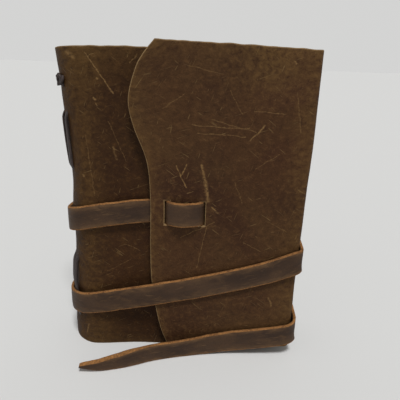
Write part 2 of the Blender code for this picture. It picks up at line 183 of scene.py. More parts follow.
def stations(marks, step):
    """Values from the first mark to the last, even between marks and no further apart than step."""
    values = [marks[0]]
    for a, b in zip(marks, marks[1:]):
        count = max(1, math.ceil((b - a) / step - 1e-6))
        values += [a + (b - a) * (i + 1) / count for i in range(count)]
    return np.array(values)


def ramp(low, high, value):
    """Smooth step from 0 at low to 1 at high."""
    t = np.clip((value - low) / (high - low), 0.0, 1.0)
    return t * t * (3 - 2 * t)


def ripple(u, v, seed, size):
    """Smooth noise over two arrays, about -1 to 1, with features of a given size."""
    flat = [noise.noise(Vector((a / size, b / size, seed))) for a, b in zip(np.ravel(u), np.ravel(v))]
    return np.array(flat).reshape(np.shape(u))


def bell(a, b=0.0):
    """A smooth bump: 1 where both values are 0, falling off round there."""
    return np.exp(-a ** 2 - b ** 2)


def add_object(name, data):
    """A new object in the scene."""
    made = bpy.data.objects.new(name, data)
    bpy.context.scene.collection.objects.link(made)
    return made


def new_object(name, vertices, faces, materials):
    """A mesh object from lists, with its materials."""
    mesh = bpy.data.meshes.new(name)
    mesh.from_pydata([tuple(v) for v in vertices], [], faces)
    for material in materials:
        mesh.materials.append(material)
    return add_object(name, mesh)


def put_attribute(mesh, name, kind, values):
    """A named value on each vertex, for materials to read."""
    attribute = mesh.attributes.new(name, kind, "POINT")
    key = "vector" if kind == "FLOAT_VECTOR" else "value"
    attribute.data.foreach_set(key, np.asarray(values, np.float32).ravel())


def apply_modifiers(piece):
    """Replace a piece's mesh with what its modifiers make of it."""
    graph = bpy.context.evaluated_depsgraph_get()
    graph.update()
    made = bpy.data.meshes.new_from_object(piece.evaluated_get(graph))
    piece.modifiers.clear()
    old = piece.data
    piece.data = made
    made.name = piece.name
    bpy.data.meshes.remove(old)
    made.shade_smooth()


# ---------------------------------------------------------------- material nodes

class Nodes:
    """A short way to write a tree's nodes and links."""

    def __init__(self, tree):
        self.tree = tree

    def node(self, kind, inputs=None, **settings):
        """Add a node; inputs are values or sockets, by name or number."""
        made = self.tree.nodes.new(kind)
        for key, value in settings.items():
            setattr(made, key, value)
        for key, value in (inputs or {}).items():
            if isinstance(value, bpy.types.NodeSocket):
                self.tree.links.new(value, made.inputs[key])
            else:
                made.inputs[key].default_value = value
        return made

    def place(self, name):
        """The vector that a piece's vertices hold under a name."""
        return self.node("ShaderNodeAttribute", attribute_name=name).outputs["Vector"]

    def value(self, name):
        """The number that a piece's vertices hold under a name."""
        return self.node("ShaderNodeAttribute", attribute_name=name).outputs["Fac"]

    def math(self, operation, a, b=0.0, clamp=False):
        return self.node("ShaderNodeMath", {0: a, 1: b}, operation=operation, use_clamp=clamp).outputs[0]

    def vector_math(self, operation, a, b=(0, 0, 0)):
        return self.node("ShaderNodeVectorMath", {0: a, 1: b}, operation=operation).outputs[0]

    def scaled(self, vector, scale):
        """A vector with each part multiplied."""
        return self.vector_math("MULTIPLY", vector, scale)

    def noise(self, vector, scale, detail=3.0, roughness=0.5, distortion=0.0):
        inputs = {"Vector": vector, "Scale": scale, "Detail": detail, "Roughness": roughness,
                  "Distortion": distortion}
        return self.node("ShaderNodeTexNoise", inputs).outputs["Fac"]

    def between(self, value, low, high, to_low=0.0, to_high=1.0):
        """Map a range onto another, smoothly and clamped."""
        return self.node("ShaderNodeMapRange", {0: value, 1: low, 2: high, 3: to_low, 4: to_high},
                         interpolation_type="SMOOTHSTEP").outputs[0]

    def mix(self, factor, a, b, blend="MIX"):
        """Mix two colours."""
        made = self.node("ShaderNodeMix", data_type="RGBA", blend_type=blend)
        for key, value in (("Factor_Float", factor), ("A_Color", a), ("B_Color", b)):
            socket = next(s for s in made.inputs if s.identifier == key)
            if isinstance(value, bpy.types.NodeSocket):
                self.tree.links.new(value, socket)
            else:
                socket.default_value = (*value, 1.0) if key != "Factor_Float" else value
        return next(s for s in made.outputs if s.identifier == "Result_Color")

    def tinted(self, colour, tone, pattern, low, high, amount=1.0):
        """A colour with a tone mixed in where a pattern lies towards high."""
        return self.mix(self.between(pattern, low, high, 0.0, amount), colour, tone)

    def plus(self, value, other, amount):
        """A value with another, times an amount, added."""
        return self.math("ADD", value, self.math("MULTIPLY", other, amount))


class MaterialNodes(Nodes):
    """The nodes of a new material."""

    def __init__(self, name, roughness, specular):
        self.material = bpy.data.materials.new(name)
        self.material.use_nodes = True
        super().__init__(self.material.node_tree)
        self.shader = self.tree.nodes["Principled BSDF"]
        self.shader.inputs["Roughness"].default_value = roughness
        self.shader.inputs["Specular IOR Level"].default_value = specular

    def finish(self, colour, roughness, height, distance):
        """Connect colour, roughness and bump to the shader."""
        self.tree.links.new(colour, self.shader.inputs["Base Color"])
        self.tree.links.new(roughness, self.shader.inputs["Roughness"])
        bump = self.node("ShaderNodeBump", {"Strength": 1.0, "Distance": distance, "Height": height})
        self.tree.links.new(bump.outputs[0], self.shader.inputs["Normal"])
        return self.material


def scratch_group():
    """A group that draws one scuff: a soft capsule between two places on the unrolled hide."""
    group = bpy.data.node_groups.new("scratch", "ShaderNodeTree")
    for name, kind in (("Place", "Vector"), ("From", "Vector"), ("Along", "Vector"),
                       ("Half Width", "Float"), ("Strength", "Float")):
        group.interface.new_socket(name, in_out="INPUT", socket_type="NodeSocket" + kind)
    group.interface.new_socket("Mark", in_out="OUTPUT", socket_type="NodeSocketFloat")
    nodes = Nodes(group)

    def vector_value(operation, a, b):
        return nodes.node("ShaderNodeVectorMath", {0: a, 1: b}, operation=operation).outputs["Value"]

    given = nodes.node("NodeGroupInput").outputs
    offset, along = nodes.vector_math("SUBTRACT", given["Place"], given["From"]), given["Along"]
    reach, whole = vector_value("DOT_PRODUCT", offset, along), vector_value("DOT_PRODUCT", along, along)
    share = nodes.math("DIVIDE", reach, whole, clamp=True)
    nearest = nodes.node("ShaderNodeVectorMath", {0: along, 3: share}, operation="SCALE").outputs[0]
    fade = nodes.between(vector_value("DISTANCE", offset, nearest), 0.0, given["Half Width"], 1.0, 0.0)
    nodes.node("NodeGroupOutput", {0: nodes.math("MULTIPLY", fade, given["Strength"])})
    return group


def hide_material(name, marks=()):
    """Waxed pull-up leather: dark brown, mottled, golden where it was rubbed, bent or scratched.
    It reads hide_place, the place on the unrolled hide, and hide_wear, from 0 to 1."""
    nodes = MaterialNodes(name, 0.55, 0.09)
    place = nodes.place("hide_place")
    wear = nodes.value("hide_wear")

    cloud = nodes.noise(place, 26.0, 3.0, 0.55)
    mottle = nodes.noise(place, 300.0, 6.0, 0.70, 0.3)
    fleck = nodes.noise(place, 800.0, 4.0, 0.65)
    tint = nodes.noise(place, 17.0, 2.0, 0.5, 0.6)
    grain = nodes.noise(place, 2400.0, 2.0, 0.6)

    dark, middle, light = (0.020, 0.0088, 0.0030), (0.050, 0.0236, 0.0080), (0.100, 0.0520, 0.0170)
    colour = nodes.tinted((0.034, 0.0150, 0.0060), middle, cloud, 0.34, 0.62)
    for tone, pattern, low, high, amount in (((0.060, 0.0325, 0.0100), tint, 0.48, 0.72, 0.6),
                                             ((0.046, 0.0190, 0.0082), tint, 0.46, 0.28, 0.75),
                                             (light, mottle, 0.48, 0.74, 0.65),
                                             (dark, mottle, 0.48, 0.28, 0.55),
                                             (light, fleck, 0.54, 0.72, 0.45),
                                             (dark, grain, 0.50, 0.32, 0.5)):
        colour = nodes.tinted(colour, tone, pattern, low, high, amount)

    unrolled = nodes.node("ShaderNodeSeparateXYZ", {0: place}).outputs["X"]
    tone = nodes.tinted(COVER_TONE, FLAP_TONE, unrolled, PLAN.rear_fold_s - TONE_BLEND, PLAN.rear_fold_s)
    colour = nodes.mix(1.0, colour, tone, "MULTIPLY")

    # Pull-up: wax thinned to a golden brown along edges and folds, broken up by the mottling
    rubbed = nodes.math("MULTIPLY", wear, nodes.between(mottle, 0.30, 0.62, 0.15, 1.0), clamp=True)
    colour = nodes.mix(nodes.math("MULTIPLY", rubbed, 0.65), colour, (0.170, 0.096, 0.030))

    # Fine random scratches in three directions
    fine = None
    for angle, scale in ((0.35, 84.0), (1.25, 105.0), (2.5, 76.0)):
        turned = nodes.node("ShaderNodeVectorRotate", {"Vector": place, "Angle": angle},
                            rotation_type="Z_AXIS").outputs[0]
        thin = nodes.noise(nodes.scaled(turned, (1.0, 16.0, 1.0)), scale, 1.0, 0.4, 0.6)
        patch = nodes.noise(turned, scale * 1.7, 1.0)
        line = nodes.math("MULTIPLY", nodes.between(thin, 0.690, 0.725),
                          nodes.between(patch, 0.49, 0.60))
        fine = line if fine is None else nodes.math("MAXIMUM", fine, line)
    colour = nodes.mix(nodes.math("MULTIPLY", fine, 0.46), colour, (0.20, 0.122, 0.048))

    # The larger scuffs, with ragged sides
    height = nodes.math("MULTIPLY", fine, -0.5)
    if marks:
        group = bpy.data.node_groups.get("scratch") or scratch_group()
        wobble = nodes.node("ShaderNodeTexNoise", {"Vector": place, "Scale": 260.0, "Detail": 2.0})
        shaken = nodes.vector_math("SUBTRACT", wobble.outputs["Color"], (0.5, 0.5, 0.5))
        shaken = nodes.vector_math("ADD", nodes.scaled(shaken, (0.0017, 0.0017, 0.0)), place)
        total = None
        for s1, z1, s2, z2, half_width, strength in marks:
            scuff = {"Place": shaken, "From": (s1, z1, 0), "Along": (s2 - s1, z2 - z1, 0),
                     "Half Width": half_width * 1.05, "Strength": strength * 0.9}
            mark = nodes.node("ShaderNodeGroup", scuff, node_tree=group).outputs[0]
            total = mark if total is None else nodes.math("MAXIMUM", total, mark)
        broken = nodes.math("MULTIPLY", total, nodes.between(fleck, 0.36, 0.58, 0.2, 1.0))
        colour = nodes.mix(broken, colour, (0.250, 0.145, 0.055))
        height = nodes.math("SUBTRACT", height, nodes.math("MULTIPLY", total, 0.9))

    pebble = nodes.node("ShaderNodeTexVoronoi", {"Vector": place, "Scale": 900.0, "Randomness": 1.0},
                        feature="F1").outputs["Distance"]
    for pattern, amount in ((pebble, 0.55), (grain, 0.5), (fleck, 0.6), (mottle, 0.8)):
        height = nodes.plus(height, pattern, amount)
    roughness = nodes.plus(nodes.between(mottle, 0.30, 0.70, 0.50, 0.68), rubbed, 0.08)
    return nodes.finish(colour, roughness, height, 0.00022)


def fibre_material(name, place_name, dark, light, contrast=1.0, fluff=0.0004):
    """Cut edges and flesh side: matt, fibrous, lighter than the grain side."""
    nodes = MaterialNodes(name, 0.85, 0.25)
    place = nodes.place(place_name)
    broad = nodes.noise(place, 140.0, 3.0, 0.6)
    fibres = nodes.noise(place, 1100.0, 5.0, 0.7, 0.8)
    colour = nodes.tinted(dark, light, broad, 0.35, 0.65)
    lightest, darkest = tuple(min(1.0, c * 1.75) for c in light), tuple(c * 0.45 for c in dark)
    colour = nodes.tinted(colour, lightest, fibres, 0.42, 0.66, 0.8 * contrast)
    colour = nodes.tinted(colour, darkest, fibres, 0.46, 0.30, 0.7 * contrast)
    roughness = nodes.between(fibres, 0.3, 0.7, 0.78, 0.95)
    return nodes.finish(colour, roughness, nodes.plus(fibres, broad, 0.6), fluff)


def strap_material():
    """The strap's face: the same waxed leather, a little redder, rubbed along its edges."""
    nodes = MaterialNodes("strap_face", 0.52, 0.20)
    place = nodes.place("strap_place")
    wear = nodes.value("strap_wear")
    long_place = nodes.scaled(place, (1.0, 2.6, 1.0))
    cloud = nodes.noise(long_place, 30.0, 3.0, 0.55)
    mottle = nodes.noise(long_place, 130.0, 5.0, 0.65, 0.5)
    grain = nodes.noise(place, 1500.0, 3.0, 0.6)
    colour = nodes.tinted((0.032, 0.0165, 0.0092), (0.056, 0.0295, 0.0150), cloud, 0.34, 0.66)
    colour = nodes.tinted(colour, (0.098, 0.054, 0.025), mottle, 0.47, 0.74, 0.5)
    colour = nodes.tinted(colour, (0.020, 0.0105, 0.0055), grain, 0.48, 0.30, 0.4)
    rubbed = nodes.math("MULTIPLY", wear, nodes.between(mottle, 0.34, 0.62, 0.1, 1.0), clamp=True)
    colour = nodes.mix(nodes.math("MULTIPLY", rubbed, 0.6), colour, (0.21, 0.112, 0.045))
    thin = nodes.noise(nodes.scaled(place, (1.0, 9.0, 1.0)), 90.0, 1.0, 0.4, 0.9)
    line = nodes.between(thin, 0.69, 0.74)
    colour = nodes.mix(nodes.math("MULTIPLY", line, 0.22), colour, (0.22, 0.12, 0.05))
    height = nodes.plus(nodes.math("MULTIPLY", mottle, 0.9), grain, 0.5)
    height = nodes.math("SUBTRACT", height, nodes.math("MULTIPLY", line, 0.5))
    roughness = nodes.between(mottle, 0.3, 0.7, 0.46, 0.64)
    return nodes.finish(colour, roughness, height, 0.00022)


def lace_material():
    """The thin dark lace that sews the book."""
    nodes = MaterialNodes("lace", 0.55, 0.25)
    place = nodes.place("lace_place")
    mottle = nodes.noise(nodes.scaled(place, (1.0, 1.0, 0.35)), 420.0, 4.0, 0.65)
    grain = nodes.noise(place, 2200.0, 3.0, 0.6)
    colour = nodes.tinted((0.016, 0.011, 0.0105), (0.060, 0.042, 0.038), mottle, 0.35, 0.68)
    colour = nodes.tinted(colour, (0.13, 0.085, 0.06), grain, 0.56, 0.72, 0.5)
    height = nodes.plus(mottle, grain, 0.6)
    roughness = nodes.between(mottle, 0.3, 0.7, 0.45, 0.65)
    return nodes.finish(colour, roughness, height, 0.0002)


def paper_material():
    """Thick handmade paper, cream and faintly fibrous."""
    nodes = MaterialNodes("handmade_paper", 0.9, 0.2)
    place = nodes.place("paper_place")
    broad = nodes.noise(place, 40.0, 3.0, 0.6)
    fibres = nodes.noise(nodes.scaled(place, (1.0, 1.0, 3.0)), 700.0, 5.0, 0.7, 1.0)
    leaf = nodes.value("paper_shade")
    colour = nodes.tinted((0.60, 0.51, 0.37), (0.72, 0.645, 0.51), broad, 0.3, 0.7)
    colour = nodes.tinted(colour, (0.50, 0.39, 0.25), fibres, 0.56, 0.72, 0.5)
    colour = nodes.mix(nodes.math("MULTIPLY", leaf, 0.35), colour, (0.50, 0.41, 0.28))
    roughness = nodes.between(fibres, 0.3, 0.7, 0.84, 0.96)
    return nodes.finish(colour, roughness, fibres, 0.00015)


# ---------------------------------------------------------------- the hide

class HidePlan:
    """The hide's middle line in plan, unrolled: from the front cover's free edge round the spine,
    along the back, round the fore-edge and over the front to the flap's free edge."""

    def __init__(self):
        r = FOLD_RADIUS
        mid = SPINE_RADIUS - LEATHER / 2
        fold_x = FORE_EDGE_X - LEATHER / 2
        self.inner_x = inner_x = fold_x - r
        self.pieces = [
            ("line", (COVER_HIGH.x, COVER_MID_Y), (SPINE_X, COVER_MID_Y)),
            ("arc", (SPINE_X, SPINE_Y), mid, 270, 90),
            ("line", (SPINE_X, BACK_MID_Y), (inner_x, BACK_MID_Y)),
            ("arc", (inner_x, BACK_MID_Y - r), r, 90, 0),
            ("line", (fold_x, BACK_MID_Y - r), (fold_x, FLAP_MID_Y + r)),
            ("arc", (inner_x, FLAP_MID_Y + r), r, 0, -90),
            ("line", (inner_x, FLAP_MID_Y), (FORE_EDGE_X - FLAP_REACH, FLAP_MID_Y)),
        ]
        self.starts = [0.0]
        for piece in self.pieces:
            self.starts.append(self.starts[-1] + self.length(piece))
        (self.spine_s, self.back_s, self.rear_fold_s, self.panel_s, self.front_fold_s,
         self.flap_s, self.end_s) = self.starts[1:]

    @staticmethod
    def length(piece):
        if piece[0] == "line":
            return math.dist(piece[1], piece[2])
        return piece[2] * math.radians(abs(piece[4] - piece[3]))

    def at(self, s):
        """Place and outward direction in plan, at a distance along the hide."""
        k = min(max(0, sum(1 for start in self.starts if start <= s) - 1), len(self.pieces) - 1)
        piece = self.pieces[k]
        share = (s - self.starts[k]) / self.length(piece)
        if piece[0] == "line":
            a, b = Vector(piece[1]), Vector(piece[2])
            along = (b - a).normalized()
            return a.lerp(b, share), Vector((-along.y, along.x))
        angle = math.radians(piece[3] + (piece[4] - piece[3]) * share)
        out = Vector((math.cos(angle), math.sin(angle)))
        return Vector(piece[1]) + out * piece[2], out

    def flap_place(self, x):
        """Distance along the hide of a place on the flap."""
        return self.flap_s + (self.inner_x - x)

    def cover_place(self, x):
        """Distance along the hide of a place on the front cover."""
        return COVER_HIGH.x - x


PLAN = HidePlan()
SWELL = smooth_table(SPINE_SWELL)
BULGE = smooth_table(FORE_EDGE_SWELL)
EDGE = smooth_table(FLAP_EDGE)


def swell_at(z):
    """How far the spine stands out at a height."""
    return np.interp(z / MM, *SWELL) * MM


def forward_at(x, turn):
    """How far the front stands forward, at a place across it and a share of the way round the spine."""
    return COVER_SWELL * ramp(-0.022, -0.056, x) * (1 - ramp(0.0, 0.45, turn))


def hide_heights(s):
    """Lower and upper edge of the hide at a distance along it."""
    rows = [(0, LIFT, BOOK_TOP),
            (PLAN.spine_s - 0.02, LIFT, BOOK_TOP - SLACK),
            ((PLAN.spine_s + PLAN.back_s) / 2, 0.0, BOOK_TOP - DIP),
            (PLAN.back_s + 0.02, 0.0, BOOK_TOP - SLACK),
            (PLAN.rear_fold_s - 0.012, 0.0, BOOK_TOP),
            (PLAN.panel_s + 0.010, PANEL_LOW.z - 0.0005, BOOK_TOP + SLACK),
            (PLAN.flap_s, PANEL_LOW.z, PANEL_HIGH.z),
            (PLAN.flap_place(0.009), LIFT, PANEL_HIGH.z + DIP),
            (PLAN.end_s, LIFT, FLAP_HIGH.z)]
    marks, bottoms, tops = zip(*rows)
    return np.interp(s, marks, bottoms), np.interp(s, marks, tops)


def hide_sheet():
    """The whole hide as one open sheet: grid of places, outward directions and unrolled places."""
    slot_marks = sorted(PLAN.flap_place(x + side * SLOT_WIDTH / 2) for x in SLOT_X for side in (-1, 1))
    middle_back = PLAN.back_s + (PLAN.rear_fold_s - PLAN.back_s) * 0.25
    middle_panel = (PLAN.panel_s + PLAN.front_fold_s) / 2
    marks = [0, PLAN.spine_s, PLAN.back_s, middle_back, PLAN.rear_fold_s, PLAN.panel_s, middle_panel,
             PLAN.front_fold_s, PLAN.flap_s] + slot_marks + [PLAN.end_s]
    s = stations(marks, GRID)
    flap_height = FLAP_HIGH.z - LIFT
    slot_low = (SLOT_Z - SLOT_HEIGHT / 2 - LIFT) / flap_height
    slot_high = (SLOT_Z + SLOT_HEIGHT / 2 - LIFT) / flap_height
    t = stations([0, slot_low, slot_high, 1], GRID / flap_height)
    s_grid, t_grid = np.meshgrid(s, t, indexing="ij")
    bottom, top = hide_heights(s_grid)
    z = bottom + t_grid * (top - bottom)

    plan = np.array([(*place, *outward) for place, outward in map(PLAN.at, s)])
    x, y, out_x, out_y = (column[:, None] + 0 * t_grid for column in plan.T)

    # The flap's free edge strays as it was cut
    stray = np.interp(t_grid, *EDGE) * MM
    stray_s = PLAN.flap_place(STRAY_FROM_X)
    stretch = ramp(stray_s, PLAN.end_s, s_grid)
    reach = np.clip((s_grid - stray_s) / (PLAN.end_s - stray_s), 0, 1)
    x -= stray * reach * (0.35 + 0.65 * stretch)

    # The spine swells at its ends and is drawn in by the strap
    turn = np.clip((s_grid - PLAN.spine_s) / (PLAN.back_s - PLAN.spine_s), 0, 1)
    y -= forward_at(x, turn)
    x -= swell_at(z) * np.sin(turn * math.pi) ** 0.8
    on_panel = ramp(PLAN.rear_fold_s, PLAN.panel_s, s_grid) * ramp(PLAN.flap_s, PLAN.front_fold_s, s_grid)
    x += np.interp(z / MM, *BULGE) * MM * on_panel

    # Slow waves, small dents and raw-cut edges
    on_flap = ramp(PLAN.flap_s, PLAN.flap_s + 0.02, s_grid)
    edge_near = ramp(PLAN.end_s - 0.012, PLAN.end_s, s_grid)
    wave = 0.00035 * ripple(s_grid, z, 3.1, 0.045) + 0.00016 * ripple(s_grid, z, 8.7, 0.014)
    wave += 0.00005 * ripple(s_grid, z, 5.5, 0.005)
    wave += on_flap * edge_near * (0.0004 + 0.0006 * ripple(0 * z, z, 12.3, 0.03))
    for slot_x in SLOT_X:
        across = s_grid - PLAN.flap_place(slot_x)
        wave += 0.00045 * bell(across / 0.009, (z - SLOT_Z) / 0.013)
    strap_line = np.interp(x, *STRAP_LINE)
    wave -= 0.00035 * (on_flap * bell((z - strap_line) / 0.009))
    x += out_x * wave
    y += out_y * wave
    z += ramp(0.97, 1.0, t_grid) * 0.00035 * ripple(s_grid, 0 * z, 21.0, 0.006)
    z += ramp(0.97, 1.0, t_grid) * 0.00045 * ripple(s_grid, 0 * z, 27.0, 0.04)

    # Wear: golden along raw edges, folds, slots and where the book bulges
    to_edge = np.minimum(s_grid, PLAN.end_s - s_grid)
    wear = 0.50 * np.exp(-to_edge / 0.0030) + 0.10 * np.exp(-to_edge / 0.012)
    wear += 0.30 * np.exp(-(top - z) / 0.003) + 0.06 * np.exp(-(top - z) / 0.016)
    wear += 0.25 * np.exp(-(z - bottom) / 0.003)
    for fold in (PLAN.rear_fold_s, PLAN.panel_s, PLAN.front_fold_s, PLAN.flap_s):
        wear += 0.22 * bell((s_grid - fold) / 0.009)
    wear += 0.34 * bell((s_grid - PLAN.spine_s - 0.002) / 0.010)
    wear += 0.62 * on_flap * bell((s_grid - PLAN.flap_place(0.050)) / 0.026, (z - 0.174) / 0.018)
    wear += 0.14 * on_flap * bell((s_grid - PLAN.flap_place(0.035)) / 0.04, (z - 0.020) / 0.03)
    for slot_x in SLOT_X:
        across = s_grid - PLAN.flap_place(slot_x)
        wear += 0.25 * np.exp(-(across / 0.0065) ** 2 - ((z - SLOT_Z) / 0.0100) ** 4)
    return {"s": s, "t": t, "x": x, "y": y, "z": z, "wear": np.clip(wear, 0, 1),
            "slots": slot_marks, "slot_t": (slot_low, slot_high), "cuts": (middle_back, middle_panel)}


def hide_piece(name, sheet, start, end, materials):
    """One stretch of the hide as a solid piece with cut slots and rounded raw edges."""
    s, t = sheet["s"], sheet["t"]
    chosen = [i for i, value in enumerate(s) if start - 1e-9 <= value <= end + 1e-9]
    rows = len(t)
    x, y, z, wear = (sheet[key][chosen] for key in ("x", "y", "z", "wear"))
    vertices = np.stack([x, y, z], axis=-1).reshape(-1, 3)
    slots, (low, high) = sheet["slots"], sheet["slot_t"]
    faces = []
    for i in range(len(chosen) - 1):
        middle_s = (s[chosen[i]] + s[chosen[i + 1]]) / 2
        in_slot = slots[0] < middle_s < slots[1] or slots[2] < middle_s < slots[3]
        for j in range(rows - 1):
            if in_slot and low < (t[j] + t[j + 1]) / 2 < high:
                continue
            a = i * rows + j
            faces.append((a, a + 1, a + rows + 1, a + rows))
    piece = new_object(name, vertices, faces, materials)
    unrolled = np.stack([s[chosen][:, None] + 0 * z, z, 0 * z], axis=-1)
    put_attribute(piece.data, "hide_place", "FLOAT_VECTOR", unrolled)
    put_attribute(piece.data, "hide_wear", "FLOAT", wear)

    solid = piece.modifiers.new("thickness", "SOLIDIFY")
    solid.thickness = LEATHER
    solid.offset = 0.0
    solid.use_even_offset = True
    solid.material_offset = 1
    solid.material_offset_rim = 2
    apply_modifiers(piece)
    round_raw_edges(piece, [seam for seam in (start, end) if 0 < seam < PLAN.end_s])
    return piece


def round_raw_edges(piece, seams):
    """Open a stretch where it meets the next one, and round its cut edges everywhere else."""
    shape = bmesh.new()
    shape.from_mesh(piece.data)
    place = shape.verts.layers.float_vector["hide_place"]
    ends = [face for face in shape.faces
            if any(all(abs(v[place].x - seam) < 1e-6 for v in face.verts) for seam in seams)]
    bmesh.ops.delete(shape, geom=ends, context="FACES_ONLY")
    sharp = [edge for edge in shape.edges
             if len(edge.link_faces) == 2 and edge.calc_face_angle() > math.radians(50)]
    bmesh.ops.bevel(shape, geom=sharp, offset=0.5 * MM, segments=2, profile=0.5, affect="EDGES", material=2)
    shape.to_mesh(piece.data)
    shape.free()
    piece.data.shade_smooth()


def make_hide():
    """The three stretches of the hide, each holding one of its folds: the spine, the rear fold and the front
    fold.
    """
    sheet = hide_sheet()
    middle_back, middle_panel = sheet["cuts"]
    flesh = fibre_material("hide_flesh", "hide_place", (0.060, 0.034, 0.018), (0.105, 0.062, 0.033),
                           fluff=0.00025)
    edge = fibre_material("hide_edge", "hide_place", (0.145, 0.086, 0.036), (0.205, 0.128, 0.056),
                          0.4, 0.0003)
    cover_marks = [(PLAN.cover_place(a * MM), b * MM, PLAN.cover_place(c * MM), d * MM, w * MM, k)
                   for a, b, c, d, w, k in COVER_MARKS]
    flap_marks = [(PLAN.flap_place(a * MM), b * MM, PLAN.flap_place(c * MM), d * MM, w * MM, k)
                  for a, b, c, d, w, k in FLAP_MARKS]
    cover_face = hide_material("hide_cover", cover_marks)
    back_face = hide_material("hide_back")
    flap_face = hide_material("hide_flap", flap_marks)

    cover = hide_piece("hide_cover_and_spine", sheet, 0, middle_back, [cover_face, flesh, edge])
    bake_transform(cover)
    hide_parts("front_cover", "front_cover_fold", "spine_leather")

    back = hide_piece("hide_back_and_fore_edge", sheet, middle_back, middle_panel, [back_face, flesh, edge])
    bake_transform(back)
    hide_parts("back_cover", "fore_edge_rear_fold")

    flap = hide_piece("hide_fore_edge_and_flap", sheet, middle_panel, PLAN.end_s, [flap_face, flesh, edge])
    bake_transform(flap)
    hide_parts("flap", "fore_edge_front_fold", "fore_edge_panel")


# ---------------------------------------------------------------- straps and laces

STITCH_STEPS = 28
STITCH_INSET = 0.0008            # room at both ends of a stitch
STITCH_DEPTH = 0.0018            # how far its ends go into the leather
STITCH_RISE = 0.0026
STITCH_LACE = (1.55 * MM, 0.55 * MM)  # half width and half thickness
KNOT_STEPS = 55
KNOT_REACH = 2.65                # how far the knot's curve goes to both sides, in radians
KNOT_LACE = (0.95 * MM, 0.75 * MM)


def swept(name, rings, materials, kinds):
    """A closed solid through rings of corners. kinds gives the material of each side."""
    sides = len(kinds)
    vertices = [corner for ring in rings for corner in ring]
    faces, picks = [], []
    for i in range(len(rings) - 1):
        for k, kind in enumerate(kinds):
            a, b = i * sides + k, i * sides + (k + 1) % sides
            faces.append((a, b, b + sides, a + sides))
            picks.append(kind)
    last = (len(rings) - 1) * sides
    faces.append(tuple(reversed(range(sides))))
    faces.append(tuple(last + k for k in range(sides)))
    picks += [kinds[0]] * 2
    piece = new_object(name, vertices, faces, materials)
    piece.data.polygons.foreach_set("material_index", picks)
    return piece


def strap_profile():
    """The strap's cross-section as (across, outward) shares of its half sizes, and what each side
    is: 0 the face, 1 a cut edge, 2 the flesh side."""
    face = [-0.90, -0.6, -0.3, 0.0, 0.3, 0.6, 0.90]
    outer = [(w, 1.0) for w in face]
    top = [(0.985, 0.80), (1.0, 0.30), (1.0, -0.30), (0.985, -0.80)]
    inner = [(w, -1.0) for w in reversed(face)]
    bottom = [(-0.985, -0.80), (-1.0, -0.30), (-1.0, 0.30), (-0.985, 0.80)]
    return outer + top + inner + bottom, [0] * 6 + [1] * 5 + [2] * 6 + [1] * 5


def make_ribbon(name, route, materials, seed, pointed=False):
    """A flat strap on edge along a route, its face outside, with slightly ragged cut edges. A
    pointed one narrows and is cut at a slant towards its lower edge, which shows as a wide facet."""
    steps = 7
    centre = smooth_points([Vector(p) * MM for p in route], steps)
    travelled = [0.0]
    for a, b in zip(centre, centre[1:]):
        travelled.append(travelled[-1] + (b - a).length)
    total = travelled[-1]
    profile, kinds = strap_profile()
    rings, places, wear = [], [], []
    for i, point in enumerate(centre):
        along = (centre[min(i + 1, len(centre) - 1)] - centre[max(i - 1, 0)]).normalized()
        sideways = Vector((0, 0, 1)).cross(along).normalized()
        across = along.cross(sideways)
        half = STRAP_WIDTH / 2
        left = total - travelled[i]
        facet = 0.0
        if pointed:
            half *= NARROWING + (1 - NARROWING) * ramp(*NARROWED, left)
            share = min(1.0, left / POINT)
            half = TIP / 2 + (half - TIP / 2) * math.sin(share * math.pi / 2) ** 0.85
            point = point - across * (STRAP_WIDTH / 2 - half)
            facet = min(FACET, half * 0.8) * ramp(POINT * 1.3, POINT * 0.8, left)
        along_mm = travelled[i] * 1000
        ring = []
        for w, n in profile:
            ragged = 0.0
            if abs(w) > 0.85:
                side = 1 if w > 0 else -1
                ragged = side * (0.22 * noise.noise(Vector((along_mm / 9, side * 5, seed)))
                                 + 0.10 * noise.noise(Vector((along_mm / 1.7, side * 7, seed)))) * MM
            dent = 0.10 * noise.noise(Vector((along_mm / 7, w * 1.5, seed + n))) * MM
            crown = -CROWN * w * w * n
            lowered = facet * max(0.0, w) if n > 0.9 else facet * 0.5 if n > 0.5 and w > 0 else 0.0
            ring.append(point + across * (w * half + ragged - lowered)
                        + sideways * (n * STRAP_THICKNESS / 2 + dent + crown))
            places.append((travelled[i], w * half, n * STRAP_THICKNESS / 2))
            wear.append(min(1.0, max(0.0, (abs(w) - 0.55) / 0.4)) * 0.8)
        rings.append(ring)
    piece = swept(name, rings, materials, kinds)
    put_attribute(piece.data, "strap_place", "FLOAT_VECTOR", places)
    put_attribute(piece.data, "strap_wear", "FLOAT", wear)
    shape = bmesh.new()
    shape.from_mesh(piece.data)
    bmesh.ops.recalc_face_normals(shape, faces=shape.faces)
    shape.to_mesh(piece.data)
    shape.free()
    piece.data.shade_smooth()
    return piece, centre, total


def make_strap():
    """The strap threaded through the flap and wound round the book, and its loose end."""
    face = strap_material()
    edge = fibre_material("strap_edge", "strap_place", (0.115, 0.048, 0.015), (0.235, 0.108, 0.034),
                          0.8, 0.00035)
    flesh = fibre_material("strap_flesh", "strap_place", (0.075, 0.042, 0.023), (0.135, 0.080, 0.044),
                           1.0, 0.0003)
    wound_route = START_ROUTE + UPPER_TURN + FRONT_RUN + LOWER_TURN
    wound, path, length = make_ribbon("wound_strap", wound_route, [face, edge, flesh], 2.0)
    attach(wound, "strap")
    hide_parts("wrap_strap")

    tail, path, length = make_ribbon("strap_loose_end", TAIL_ROUTE, [face, edge, flesh], 6.0, True)
    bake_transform(tail)
    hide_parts("strap_tail")


def row_angle(row):
    """How far round the spine a signature's row of stitches lies, from the spine's middle."""
    return math.asin((row - (SIGNATURES - 1) / 2) * SIGNATURE_PITCH / SPINE_RADIUS)


